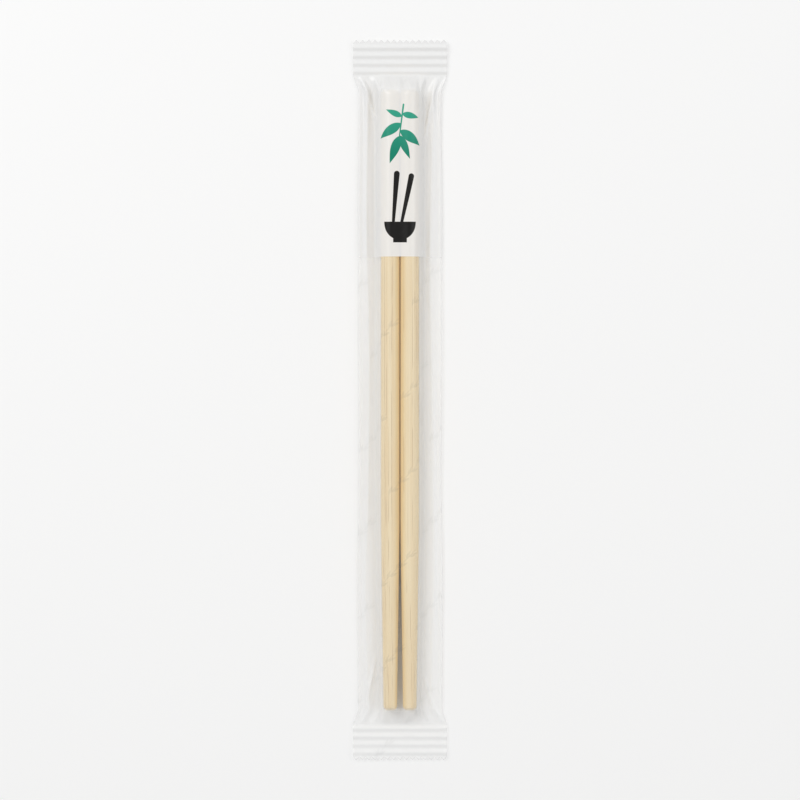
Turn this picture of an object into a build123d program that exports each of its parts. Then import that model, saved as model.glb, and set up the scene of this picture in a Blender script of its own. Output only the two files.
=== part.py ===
from build123d import *

import math
import os

# A pair of round bamboo chopsticks, sealed side by side in a sleeve of clear film.
# The sleeve lies on its back seam: X runs across it, Y along it towards the sticks' heads, and Z up.
# Sizes are in millimetres. The origin is on the table, under the middle of the sleeve.

# Sticks
stick_length = 195.0
stick_diameter = 6.0
tip_diameter = 4.2
taper_length = 60.0
head_round = 1.6
tip_round = 1.2
stick_gap = 0.1

# Film sleeve
film_gauge = 0.15
film_clearance = 0.05
sleeve_flat_width = 29.5
foot_reach = 1.6
end_slack = 4.5
seam_width = 9.0

# Crimps, the ribbed seals that close both ends of the sleeve
crimp_length = 11.5
rib_pitch = 2.5
rib_height = 0.35
tooth_pitch = 2.0
tooth_depth = 1.0

# Places along the sleeve
stick_end = stick_length / 2
taper_start = taper_length - stick_end
crimp_start = stick_end + end_slack
sleeve_end = crimp_start + crimp_length
rib_count = math.floor((crimp_length - tooth_depth) / rib_pitch)
rib_start = crimp_start + (crimp_length - tooth_depth - rib_count * rib_pitch) / 2

# Heights of the film's layers, and the sticks' places
stick_radius = stick_diameter / 2
tip_radius = tip_diameter / 2
seam_thickness = 2 * film_gauge
film_middle = seam_thickness + film_gauge
wing_top = film_middle + film_gauge
axis_offset = stick_radius + stick_gap / 2
axis_height = film_middle + film_clearance + stick_radius

# Where the sticks lift the upper film, and where it is pressed flat again, each with the radius it comes from
lifted_places = [(stick_end, stick_radius), (taper_start, stick_radius), (-stick_end, tip_radius)]
pressed_places = [(crimp_start, stick_radius), (-crimp_start, tip_radius)]

# Inner and outer faces of the upper film: how far each stands off a stick, and the height that it lands at
inner_face = (film_clearance, film_middle + film_clearance)
outer_face = (film_clearance + film_gauge, wing_top)


def stick(side):
    """One stick, turned about its axis: a straight rod with a tapered tip, and both ends rounded over."""
    outline = Polyline(
        (0, -stick_end),
        (tip_radius, -stick_end),
        (stick_radius, taper_start),
        (stick_radius, stick_end),
        (0, stick_end),
        close=True,
    )
    half = make_face(outline)
    tip_corner = half.vertices().group_by(Axis.Y)[0].sort_by(Axis.X)[-1]
    half = fillet(tip_corner, tip_round)
    head_corner = half.vertices().group_by(Axis.Y)[-1].sort_by(Axis.X)[-1]
    half = fillet(head_corner, head_round)
    return Pos(side * axis_offset, 0, axis_height) * revolve(half, Axis.Y)


def fall_angle(core_radius):
    """Angle above the level at which the upper film leaves a stick, to run straight down to its foot."""
    standoff, landing = outer_face
    reach = core_radius + foot_reach
    drop = axis_height - landing
    return math.acos((core_radius + standoff) / math.hypot(reach, drop)) - math.atan2(drop, reach)


def film_stretches(core_radius, face):
    """Lengths of one face of the upper film from a stick's crown: its arc, then its straight fall."""
    standoff, landing = face
    fall = fall_angle(core_radius)
    radius = core_radius + standoff
    return radius * (math.pi / 2 - fall), (axis_height + radius * math.sin(fall) - landing) / math.cos(fall)


def foot_place(core_radius, face):
    """Distance from the sleeve's middle to the foot, where the falling film lands."""
    fall = fall_angle(core_radius)
    run = film_stretches(core_radius, face)[1]
    return axis_offset + (core_radius + face[0]) * math.cos(fall) + run * math.sin(fall)


def draped_film(y, core_radius, face):
    """One face of the upper film, from its right foot to its left: fall, arc, level bridge, arc, fall."""
    standoff, landing = face
    fall = fall_angle(core_radius)
    radius = core_radius + standoff

    def around(side, angle):
        across = axis_offset + radius * math.cos(angle)
        return (side * across, y, axis_height + radius * math.sin(angle))

    def over(side):
        foot = (side * foot_place(core_radius, face), y, landing)
        leave = around(side, fall)
        middle = around(side, (fall + math.pi / 2) / 2)
        return foot, leave, middle, around(side, math.pi / 2)

    foot_r, leave_r, middle_r, crown_r = over(1)
    foot_l, leave_l, middle_l, crown_l = over(-1)
    return [
        Line(foot_r, leave_r),
        ThreePointArc(leave_r, middle_r, crown_r),
        Line(crown_r, crown_l),
        ThreePointArc(crown_l, middle_l, leave_l),
        Line(leave_l, foot_l),
    ]


def pressed_film(y, core_radius, face):
    """The same five stretches pressed flat at the landing height, each as long as it is over the sticks."""
    arc, run = film_stretches(core_radius, face)
    leave = axis_offset + arc
    foot = leave + run
    places = [foot, leave, axis_offset, -axis_offset, -leave, -foot]
    points = [(x, y, face[1]) for x in places]
    return [Line(a, b) for a, b in zip(points, points[1:])]


def closed_section(film, corners):
    """A face under the upper film, closed by straight lines from its left foot by corners to its right."""
    y = (film[0] @ 0).Y
    points = [film[-1] @ 1, *[(x, y, z) for x, z in corners], film[0] @ 0]
    return Face(Wire(film + [Line(a, b) for a, b in zip(points, points[1:])]))


def outer_section(film, half_width):
    """The sleeve's outside at one place: the upper film, two flat wings, and the lower film's underside."""
    heights = [wing_top, seam_thickness, seam_thickness, wing_top]
    sides = [-half_width, -half_width, half_width, half_width]
    return closed_section(film, list(zip(sides, heights)))


def inner_section(film):
    """The sleeve's hollow at one place: the upper film's inside, closed along the lower film."""
    foot = (film[0] @ 0).X
    return closed_section(film, [(-foot, film_middle), (foot, film_middle)])


def draped_half_width(core_radius):
    """Half the sleeve's width where the sticks lift its upper film, as the film's girth stays the same."""
    arc, run = film_stretches(core_radius, outer_face)
    lifted = axis_offset + arc + run
    return (sleeve_flat_width + foot_place(core_radius, outer_face) - lifted) / 2


def sleeve_outside():
    """The film's outer form: pressed flat at both crimps, and draped over the sticks between them."""
    heads, tips = [
        outer_section(pressed_film(y, core, outer_face), sleeve_flat_width / 2) for y, core in pressed_places
    ]
    lifted = [
        outer_section(draped_film(y, core, outer_face), draped_half_width(core)) for y, core in lifted_places
    ]
    return loft([heads, *lifted, tips], ruled=True)


def sleeve_hollow():
    """The space for the sticks, which ends as a slit at both crimps."""
    heads, tips = [inner_section(pressed_film(y, core, inner_face)) for y, core in pressed_places]
    lifted = [inner_section(draped_film(y, core, inner_face)) for y, core in lifted_places]
    return loft([heads, *lifted, tips], ruled=True)


def ribbed_run(height):
    """A line along the crimp at one height: a land, a row of arched ribs, and a land at the edge."""
    feet = [(0, rib_start + i * rib_pitch, height) for i in range(rib_count + 1)]
    crowns = [(0, y + rib_pitch / 2, height + rib_height) for _, y, _ in feet[:-1]]
    arches = [ThreePointArc(near, crown, far) for near, crown, far in zip(feet, crowns, feet[1:])]
    first = Line((0, crimp_start, height), feet[0])
    last = Line(feet[-1], (0, sleeve_end, height))
    return [first, *arches, last]


def toothed_outline():
    """The crimp seen from above, with its free edge cut in a row of teeth."""
    half_width = sleeve_flat_width / 2
    count = round(sleeve_flat_width / tooth_pitch)
    step = half_width / count
    roots = [(2 * i * step - half_width, sleeve_end - tooth_depth) for i in range(count + 1)]
    peaks = [((2 * i + 1) * step - half_width, sleeve_end) for i in range(count)]
    edge = [point for pair in zip(roots, peaks) for point in pair]
    return make_face(
        Polyline((-half_width, crimp_start), *edge, roots[-1], (half_width, crimp_start), close=True)
    )


def crimp():
    """The seal at the heads' end: both films pressed into one ribbed strip, with a toothed edge."""
    lower, upper = ribbed_run(seam_thickness), ribbed_run(wing_top)
    ends = [Line(lower[0] @ 0, upper[0] @ 0), Line(lower[-1] @ 1, upper[-1] @ 1)]
    strip = extrude(Face(Wire(lower + upper + ends)), sleeve_flat_width / 2, dir=(1, 0, 0), both=True)
    return strip & extrude(toothed_outline(), wing_top + 2 * rib_height)


def back_seam():
    """The two edges of the web, sealed together and folded flat against the back."""
    return Box(seam_width, 2 * crimp_start, seam_thickness, align=(Align.CENTER, Align.CENTER, Align.MIN))


def film_sleeve():
    """The whole sleeve, with the hollow cut out last so that both crimps close it."""
    head_crimp = crimp()
    outside = sleeve_outside() + head_crimp + mirror(head_crimp, Plane.XZ) + back_seam()
    return outside - sleeve_hollow()


os.makedirs("parts", exist_ok=True)
export_step(film_sleeve(), "parts/film_sleeve.step")
export_step(stick(-1), "parts/left_stick.step")
export_step(stick(1), "parts/right_stick.step")
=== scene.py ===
"""Dresses a wrapped pair of bamboo chopsticks, which lies on a pale table.

Both sticks are turned from bamboo and lie side by side in a printed sleeve of clear film. Lengths are in
metres, in the frame's own axes: X across the sleeve, Y along it to the sticks' heads, and Z up.
"""
import logging
import math
from dataclasses import dataclass, replace
from enum import Enum
from typing import Any

import bpy
import numpy as np
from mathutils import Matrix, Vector
from numpy.typing import NDArray


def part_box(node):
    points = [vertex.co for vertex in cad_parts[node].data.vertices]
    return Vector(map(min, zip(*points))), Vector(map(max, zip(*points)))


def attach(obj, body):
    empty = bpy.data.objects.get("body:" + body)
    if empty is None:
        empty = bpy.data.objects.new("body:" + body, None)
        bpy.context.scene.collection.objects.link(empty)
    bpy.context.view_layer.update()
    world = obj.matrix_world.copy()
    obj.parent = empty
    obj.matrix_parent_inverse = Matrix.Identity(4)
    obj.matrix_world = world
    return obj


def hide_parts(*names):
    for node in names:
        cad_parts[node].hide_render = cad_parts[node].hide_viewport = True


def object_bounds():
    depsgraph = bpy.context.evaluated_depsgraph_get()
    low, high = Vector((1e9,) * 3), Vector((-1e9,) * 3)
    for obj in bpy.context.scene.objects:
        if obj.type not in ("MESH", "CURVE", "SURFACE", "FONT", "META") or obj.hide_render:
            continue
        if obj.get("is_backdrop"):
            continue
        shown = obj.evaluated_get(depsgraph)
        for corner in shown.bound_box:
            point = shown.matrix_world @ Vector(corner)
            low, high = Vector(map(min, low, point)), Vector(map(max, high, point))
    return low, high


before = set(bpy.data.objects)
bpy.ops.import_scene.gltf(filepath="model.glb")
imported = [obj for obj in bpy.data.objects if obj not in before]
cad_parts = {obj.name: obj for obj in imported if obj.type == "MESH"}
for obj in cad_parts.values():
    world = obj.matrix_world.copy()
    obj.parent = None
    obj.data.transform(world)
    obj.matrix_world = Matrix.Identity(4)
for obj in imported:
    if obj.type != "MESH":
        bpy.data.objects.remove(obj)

Array = NDArray[np.float64]
Index = NDArray[np.int64]
Pair = tuple[float, float]
Triple = tuple[float, float, float]
Object = bpy.types.Object
Material = bpy.types.Material
Tree = bpy.types.NodeTree
Node = bpy.types.Node
Socket = bpy.types.NodeSocket
Sockets = bpy.types.bpy_prop_collection
Value = Socket | float | Triple

LOG = logging.getLogger("wrapped_pair")
BODY = "root"
SLEEVE_NODE = "film_sleeve"
MM = 0.001
TURN = 2.0 * math.pi
# Sines of a wandering line: each one's share of the line's height, and of its wavelength
DRIFT_SINES = ((0.55, 1.0), (0.3, 0.618), (0.15, 0.379))
# Standard deviations that a blur takes in on each side
BLUR_REACH = 3.0
# Points on each side fold of the film, between the edges of its two sheets
FOLD_STEPS = 5
# Lies between the number of the film's inside and those of its outsides
SKIN_EDGE = 0.5


class Side(Enum):
    """The sides of the sleeve that the sticks lie on."""

    LEFT = "left"
    RIGHT = "right"


class Skin(Enum):
    """The skins of the film, as the third number of the web attribute."""

    BACK = -1.0
    INSIDE = 0.0
    FRONT = 1.0


class Form(Enum):
    """The forms of a printed stroke, as the outputs of its node group."""

    LEAF = "Leaf"
    BAR = "Bar"


def between(first: Any, second: Any, share: Array) -> Array:
    """The value at a share of the straight way from a first value to a second one."""
    return first + (second - first) * share


def bell(value: Array, middle: Any, width: Any) -> Array:
    """A bell of height 1: e to the minus square of the distance from its middle over its width."""
    return np.exp(-(((value - middle) / width) ** 2))


def smooth_step(low: Any, high: Any, value: Array) -> Array:
    """Rises from 0 at low to 1 at high, which may lie below low, along the cubic 3t^2 - 2t^3."""
    share = np.clip((value - low) / (high - low), 0.0, 1.0)
    return share * share * (3.0 - 2.0 * share)


def soft_floor(value: Array, blend: float) -> Array:
    """The greater of a value and 0, its corner rounded within the blend by (blend - |v|)^2 / (4 blend)."""
    return np.maximum(value, 0.0) + np.maximum(blend - np.abs(value), 0.0) ** 2 / (4.0 * blend)


def soft_clamp(value: Array, blend: float) -> Array:
    """Holds a value between 0 and 1, with a soft floor at 0 and the same turned over at 1."""
    return soft_floor(1.0 - soft_floor(1.0 - value, blend), blend)


def drift(place: Array, wavelength: float, seed: int) -> Array:
    """A line that wanders between -1 and 1: a sum of sines of unrelated wavelengths, with seeded phases."""
    phases = np.random.default_rng(seed).uniform(0.0, TURN, len(DRIFT_SINES))
    return sum(
        height * np.sin(TURN * place / (wavelength * part) + phase)
        for (height, part), phase in zip(DRIFT_SINES, phases)
    )


def soften_across(values: Array, spread: float) -> Array:
    """Blurs each row with a bell curve, carrying the rows on in a straight line past their ends.

    Args:
        values: A grid whose rows are blurred.
        spread: Standard deviation of the bell, in columns.

    Returns:
        A grid of the same shape.
    """
    reach = math.ceil(BLUR_REACH * spread)
    weights = np.exp(-0.5 * (np.arange(-reach, reach + 1) / spread) ** 2)
    padded = np.pad(values, ((0, 0), (reach, reach)), mode="reflect", reflect_type="odd")
    windows = np.lib.stride_tricks.sliding_window_view(padded, weights.size, axis=1)
    return windows @ (weights / weights.sum())


@dataclass(frozen=True)
class Wander:
    """A size that wanders along the sleeve, by one line on its left side and by another on its right."""

    middle: float
    swing: float
    wavelengths: Pair
    seeds: tuple[int, int]

    def along(self, share: Array, places: Array) -> Array:
        """The middle size, plus the swing times the wandering line of the point's side."""
        left, right = [drift(places, *line) for line in zip(self.wavelengths, self.seeds)]
        return self.middle + self.swing * np.where(share < 0.0, left, right)


@dataclass
class Shell:
    """A closed surface: its points, and its four- and three-sided faces.

    A shell of film also has each point's place on the flat web, and the bare film's alpha there.
    """

    points: Array
    quads: Index
    triangles: Index
    web: Array | None = None
    milk: Array | None = None

    def turned(self) -> "Shell":
        """The same surface, facing the other way."""
        return replace(self, quads=self.quads[:, ::-1], triangles=self.triangles[:, ::-1])

    def bare(self, skin: Skin, milk: float) -> "Shell":
        """The same surface as bare film of one alpha, with the web laid flat under its points."""
        web = self.points * (1.0, 1.0, 0.0) + (0.0, 0.0, skin.value)
        return replace(self, web=web, milk=np.full(len(web), milk))


def ring_faces(place: Index) -> Index:
    """Four-sided faces between neighbouring rows of points, where each row is a closed ring."""
    ahead = np.roll(place, -1, axis=1)
    return np.stack([place[:-1], ahead[:-1], ahead[1:], place[1:]], axis=-1).reshape(-1, 4)


def tube_of_sheets(upper: Array, lower: Array, fold: Array) -> Shell:
    """Joins two sheets of rows by columns to a flat tube, with folded sides and sealed ends.

    Each row of the tube runs along the upper sheet, round a fold, back along the lower sheet and round the
    other fold. A fold is half an ellipse between the sheets' edges, which stands out by the given reach.

    Args:
        upper: Points of the upper sheet, rows by columns by 3.
        lower: Points of the lower sheet, of the same shape.
        fold: How far the folds stand out beyond the sheets' edges, for each row.

    Returns:
        The closed tube, facing outwards.
    """
    columns = upper.shape[1]
    turn = np.linspace(0.0, math.pi, FOLD_STEPS + 2)[None, 1:-1, None]
    reach = fold[:, None, None] * np.array([1.0, 0.0, 0.0]) * np.sin(turn)

    def bend(column: int) -> Array:
        """The straight way from the upper sheet's edge to the lower one's, by the cosine of the turn."""
        top, low = upper[:, [column]], lower[:, [column]]
        return (top + low) / 2 + (top - low) / 2 * np.cos(turn)

    ring = np.concatenate([upper, bend(-1) + reach, lower[:, ::-1], (bend(0) - reach)[:, ::-1]], axis=1)
    place = np.arange(ring[..., 0].size).reshape(ring.shape[:2])

    def cap(row: Index) -> tuple[Index, Index]:
        """Closes one end, with a strip of four-sided faces between the sheets and a fan in each fold.

        Args:
            row: The end's ring of points.

        Returns:
            The strip and the fans, which face back along the tube.
        """
        top = row[:columns]
        low = row[columns + FOLD_STEPS : 2 * columns + FOLD_STEPS][::-1]
        strip = np.stack([top[:-1], low[:-1], low[1:], top[1:]], axis=-1)
        right = row[columns - 1 : columns + FOLD_STEPS + 1]
        left = np.append(row[2 * columns + FOLD_STEPS - 1 :], row[0])
        fans = [
            np.stack([np.full(FOLD_STEPS, arc[0]), arc[2:], arc[1:-1]], axis=-1) for arc in (right, left)
        ]
        return strip, np.concatenate(fans)

    near_strip, near_fans = cap(place[0])
    far_strip, far_fans = cap(place[-1])
    quads = np.concatenate([ring_faces(place), near_strip, far_strip[:, ::-1]])
    return Shell(ring.reshape(-1, 3), quads, np.concatenate([near_fans, far_fans[:, ::-1]]))


def turned_shell(radii: Array, places: Array, centre: Vector, relief: Array) -> Shell:
    """Turns a profile about a line along Y, with one point at each end of the line.

    Args:
        radii: Radius of each ring.
        places: Place of each ring along Y, rising.
        centre: A point on the line.
        relief: Height added to each point's radius, rings by points around them.

    Returns:
        The closed surface, facing outwards.
    """
    reach = radii[:, None] + relief
    segments = reach.shape[1]
    angle = np.linspace(0.0, TURN, segments, endpoint=False)
    along = np.broadcast_to(places[:, None], reach.shape)
    rings = np.stack([centre.x + reach * np.sin(angle), along, centre.z + reach * np.cos(angle)], axis=-1)
    poles = np.array([(centre.x, end, centre.z) for end in (places[0], places[-1])])
    place = np.arange(reach.size).reshape(reach.shape)
    ahead = np.roll(place, -1, axis=1)
    first, last = np.full(segments, reach.size), np.full(segments, reach.size + 1)
    near = np.stack([first, ahead[0], place[0]], axis=-1)
    far = np.stack([last, place[-1], ahead[-1]], axis=-1)
    points = np.concatenate([rings.reshape(-1, 3), poles])
    return Shell(points, ring_faces(place), np.concatenate([near, far]))


def new_object(name: str, data: Any) -> Object:
    """Puts data into the scene.

    Args:
        name: Name of the object.
        data: A mesh, a light or a camera.

    Returns:
        The object, at the origin.
    """
    made = bpy.data.objects.new(name, data)
    bpy.context.scene.collection.objects.link(made)
    return made


def make_piece(name: str, shells: list[Shell], material: Material, node: str) -> Object:
    """Puts shells into one smooth mesh object at the origin, which stands for a solid.

    Args:
        name: Name of the piece.
        shells: Its closed surfaces.
        material: Its finish.
        node: Name of the solid.

    Returns:
        The piece, which rides on the body.
    """
    faces: list[list[int]] = []
    start = 0
    for shell in shells:
        faces += (shell.quads + start).tolist() + (shell.triangles + start).tolist()
        start += len(shell.points)
    mesh = bpy.data.meshes.new(name)
    mesh.from_pydata(np.concatenate([shell.points for shell in shells]).tolist(), [], faces)
    mesh.polygons.foreach_set("use_smooth", np.ones(len(faces), bool))
    for label, kind, key in (("web", "FLOAT_VECTOR", "vector"), ("milk", "FLOAT", "value")):
        values = [getattr(shell, label) for shell in shells]
        if values[0] is not None:
            data = mesh.attributes.new(label, kind, "POINT").data
            data.foreach_set(key, np.concatenate(values).astype(np.float32).ravel())
    mesh.materials.append(material)
    mesh.validate()
    piece = new_object(name, mesh)
    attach(piece, BODY)
    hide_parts(node)
    return piece


class Graph:
    """Wires shader nodes in one tree, with sockets and plain values used alike."""

    def __init__(self, tree: Tree) -> None:
        """Keeps the tree to work in."""
        self.tree = tree

    def feed(self, socket: Socket, value: Value) -> None:
        """Feeds an input.

        Args:
            socket: The input.
            value: A socket to link to it, or a plain value to set it to.
        """
        if isinstance(value, Socket):
            self.tree.links.new(value, socket)
        else:
            socket.default_value = value

    def supply(self, node: Node, **values: Value) -> Sockets:
        """Feeds a node's inputs by name.

        Args:
            node: The node.
            values: What feeds its inputs, by their names with spaces written as underscores.

        Returns:
            Its outputs.
        """
        for name, value in values.items():
            self.feed(node.inputs[name.replace("_", " ")], value)
        return node.outputs

    def node(self, kind: str, *values: Value, **settings: Any) -> Node:
        """Adds a node.

        Args:
            kind: Type of the node.
            values: What feeds its first inputs, in their order.
            settings: Its properties, by name.

        Returns:
            The node.
        """
        made = self.tree.nodes.new(kind)
        for name, setting in settings.items():
            setattr(made, name, setting)
        for socket, value in zip(made.inputs, values):
            self.feed(socket, value)
        return made

    def math(self, operation: str, *values: Value, clamp: bool = False) -> Socket:
        """Works out a number from numbers."""
        return self.node("ShaderNodeMath", *values, operation=operation, use_clamp=clamp).outputs[0]

    def vector(self, operation: str, *values: Value) -> Socket:
        """Works out a vector from vectors."""
        return self.node("ShaderNodeVectorMath", *values, operation=operation).outputs["Vector"]

    def measure(self, operation: str, *values: Value) -> Socket:
        """Works out a number from vectors, such as their distance."""
        return self.node("ShaderNodeVectorMath", *values, operation=operation).outputs["Value"]

    def axes(self, vector: Value) -> list[Socket]:
        """Splits a vector into its three numbers."""
        return list(self.node("ShaderNodeSeparateXYZ", vector).outputs)

    def ramp(self, value: Value, low: Value, high: Value, start: Value = 0.0, end: Value = 1.0) -> Socket:
        """Maps low to high onto start to end in a straight line, held beyond both."""
        return self.node("ShaderNodeMapRange", value, low, high, start, end, clamp=True).outputs[0]

    def between(self, first: Value, second: Value, share: Value) -> Socket:
        """The number at a share of the straight way from a first number to a second one."""
        return self.ramp(share, 0.0, 1.0, first, second)

    def blend(self, first: Value, second: Value, share: Value) -> Socket:
        """Mixes two colours.

        Args:
            first: The colour at a share of 0.
            second: The colour at a share of 1.
            share: The share.

        Returns:
            The mixed colour.
        """
        made = self.node("ShaderNodeMix", share, data_type="RGBA", clamp_factor=True)
        colours = [socket for socket in made.inputs if socket.type == "RGBA"]
        for socket, value in zip(colours, (first, second)):
            self.feed(socket, value if isinstance(value, Socket) else (*value, 1.0))
        return next(socket for socket in made.outputs if socket.type == "RGBA")

    def noise(self, place: Value, scale: float, detail: float) -> Socket:
        """A soft noise about 0.5, from its number of cells in one unit of the place and its finer layers."""
        made = self.node("ShaderNodeTexNoise")
        return self.supply(made, Vector=place, Scale=scale, Detail=detail)["Fac"]

    def bump(self, height: Value, distance: float, strength: float) -> Socket:
        """The normal bent by a pattern's height, where a height of 1 stands for the distance."""
        made = self.node("ShaderNodeBump")
        return self.supply(made, Height=height, Distance=distance, Strength=strength)["Normal"]

    def place(self, group: Tree, **values: Value) -> Sockets:
        """Places a node group, feeds its inputs by name and gives its outputs."""
        return self.supply(self.node("ShaderNodeGroup", node_tree=group), **values)


def new_group(name: str, inputs: dict[str, str], outputs: dict[str, str]) -> tuple[Graph, Sockets, Node]:
    """Starts a shader node group.

    Args:
        name: Name of the group.
        inputs: Input names with their socket kinds, such as Float or Vector.
        outputs: Output names with their socket kinds.

    Returns:
        The group's graph, the sockets that it is given and the node that takes its outputs.
    """
    tree = bpy.data.node_groups.new(name, "ShaderNodeTree")
    for sockets, way in ((inputs, "INPUT"), (outputs, "OUTPUT")):
        for label, kind in sockets.items():
            tree.interface.new_socket(name=label, in_out=way, socket_type=f"NodeSocket{kind}")
    graph = Graph(tree)
    return graph, graph.node("NodeGroupInput").outputs, graph.node("NodeGroupOutput")


def new_material(name: str) -> tuple[Material, Graph, Node]:
    """Starts a material with one Principled shader.

    Args:
        name: Name of the material.

    Returns:
        The material, its graph and the shader.
    """
    material = bpy.data.materials.new(name)
    material.use_nodes = True
    shader = next(node for node in material.node_tree.nodes if node.type == "BSDF_PRINCIPLED")
    return material, Graph(material.node_tree), shader


@dataclass(frozen=True)
class Strands:
    """A pattern drawn out along a stick: its cells in a metre across and along, and its finer layers."""

    across: float
    along: float
    detail: float = 0.0

    def cells(self, graph: Graph, place: Socket) -> Socket:
        """The place, counted in cells."""
        return graph.vector("MULTIPLY", place, (self.across, self.along, self.across))

    def noise(self, graph: Graph, place: Socket) -> Socket:
        """The pattern as a soft noise."""
        return graph.noise(self.cells(graph, place), 1.0, self.detail)


@dataclass(frozen=True)
class BambooFinish:
    """Plain turned bamboo: straw yellow, with fibres that show as lines along it and dots on its ends."""

    pale: Triple = (0.87, 0.71, 0.42)
    deep: Triple = (0.79, 0.59, 0.3)
    fibre: Triple = (0.5, 0.31, 0.13)
    fibre_share: float = 0.58
    tone_span: Pair = (0.34, 0.68)
    gloss_span: Pair = (0.2, 0.8)
    roughness_span: Pair = (0.47, 0.65)
    fibre_height: float = 0.02 * MM
    bump_strength: float = 0.6
    streak: Strands = Strands(1100.0, 9.0, 3.0)
    streak_share: float = 0.65
    blotch: Strands = Strands(240.0, 28.0, 2.0)
    bundles: Strands = Strands(2100.0, 6.0)
    bundle_edge: Pair = (0.32, 0.2)
    gaps: Strands = Strands(1400.0, 90.0, 1.0)
    gap_edge: Pair = (0.43, 0.53)
    fibre_dent: float = 0.6

    def grain(self) -> Tree:
        """The grain of bamboo as a solid pattern, long along Y.

        The tone lies between broad blotches and fine streaks. The fibres are the cores of long cells, broken
        by gaps, and lie a little below the streaks.

        Returns:
            A group that gives the tone, the fibres and the height of the surface.
        """
        graph, given, wanted = new_group(
            "bamboo_grain",
            {"Place": "Vector", "Seed": "Float"},
            {"Tone": "Float", "Fibre": "Float", "Height": "Float"},
        )
        place = graph.vector("ADD", given["Place"], given["Seed"])
        streak, blotch, gaps = [kind.noise(graph, place) for kind in (self.streak, self.blotch, self.gaps)]
        cells = graph.node("ShaderNodeTexVoronoi", feature="F1")
        core = graph.supply(cells, Vector=self.bundles.cells(graph, place), Scale=1.0)["Distance"]
        line = graph.ramp(core, *self.bundle_edge)
        fibre = graph.math("MULTIPLY", line, graph.ramp(gaps, *self.gap_edge))
        dent = graph.math("MULTIPLY", fibre, self.fibre_dent)
        tone = graph.between(blotch, streak, self.streak_share)
        graph.supply(wanted, Tone=tone, Fibre=fibre, Height=graph.math("SUBTRACT", streak, dent))
        return graph.tree

    def material(self, name: str, grain: Tree, seed: float) -> Material:
        """The finish of one stick.

        Args:
            name: Name of the material.
            grain: The shared grain.
            seed: Shifts the grain, so that no two sticks match.

        Returns:
            The material.
        """
        material, graph, shader = new_material(name)
        place = graph.node("ShaderNodeTexCoord").outputs["Object"]
        found = graph.place(grain, Place=place, Seed=seed)
        ground = graph.blend(self.pale, self.deep, graph.ramp(found["Tone"], *self.tone_span))
        fibres = graph.math("MULTIPLY", found["Fibre"], self.fibre_share)
        graph.supply(
            shader,
            Base_Color=graph.blend(ground, self.fibre, fibres),
            Roughness=graph.ramp(found["Tone"], *self.gloss_span, *self.roughness_span),
            Normal=graph.bump(found["Height"], self.fibre_height, self.bump_strength),
        )
        return material


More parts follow.
